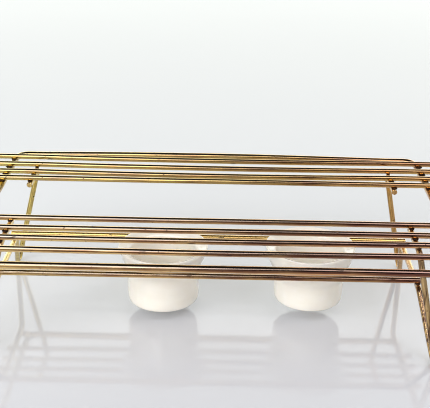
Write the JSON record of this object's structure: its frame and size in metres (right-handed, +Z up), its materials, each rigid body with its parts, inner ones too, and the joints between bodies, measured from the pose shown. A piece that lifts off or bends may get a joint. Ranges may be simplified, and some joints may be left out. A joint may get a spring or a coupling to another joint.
{
  "type": "votive candle rack",
  "caption": "Low brass wire rack of long rods on bent rod legs, holding flared milk glass cups with tealights on cross bars.",
  "frame": {"origin": "on the surface the rack stands on, under the middle of the rack", "axes": "+X along the long rods, +Y from the front to the back, +Z up"},
  "size_m": [0.406, 0.2414, 0.1044],
  "materials": {
    "loop_brass": "tarnished polished",
    "rod_brass": "tarnished polished",
    "milk_glass": "glossy opal",
    "tealight_aluminium": "satin",
    "candle_wax": "waxy",
    "sustainer_steel": "tinned",
    "wick_cotton": "braided"
  },
  "bodies": {
    "rack": {"loop_rod": "loop_brass", "grid_rod_back_1": "rod_brass", "grid_rod_back_2": "rod_brass", "grid_rod_back_3": "rod_brass", "grid_rod_back_4": "rod_brass", "grid_rod_front_1": "rod_brass", "grid_rod_front_2": "rod_brass", "grid_rod_front_3": "rod_brass", "grid_rod_front_4": "rod_brass", "side_frame_left": "rod_brass", "side_frame_right": "rod_brass", "holder_bar_back": "rod_brass", "holder_bar_front": "rod_brass"},
    "cup_left": {"glass_cup_left": "milk_glass"},
    "cup_right": {"glass_cup_right": "milk_glass"},
    "tealight_left": {"tealight_shell_left": "tealight_aluminium", "tealight_wax_left": "candle_wax", "wick_sustainer_left": "sustainer_steel", "wick_left": "wick_cotton"},
    "tealight_right": {"tealight_shell_right": "tealight_aluminium", "tealight_wax_right": "candle_wax", "wick_sustainer_right": "sustainer_steel", "wick_right": "wick_cotton"}
  },
  "joints": [
    {"name": "cup_left_slide", "type": "slide", "parent": "rack", "child": "cup_left", "axis": [1, 0, 0], "range_m": [-0.0972, 0.0241]},
    {"name": "cup_right_slide", "type": "slide", "parent": "rack", "child": "cup_right", "axis": [1, 0, 0], "range_m": [-0.0241, 0.049]},
    {"name": "tealight_left_lift", "type": "slide", "parent": "cup_left", "child": "tealight_left", "axis": [0, 0, 1], "range_m": [0, 0.11]},
    {"name": "tealight_right_lift", "type": "slide", "parent": "cup_right", "child": "tealight_right", "axis": [0, 0, 1], "range_m": [0, 0.11]}
  ]
}
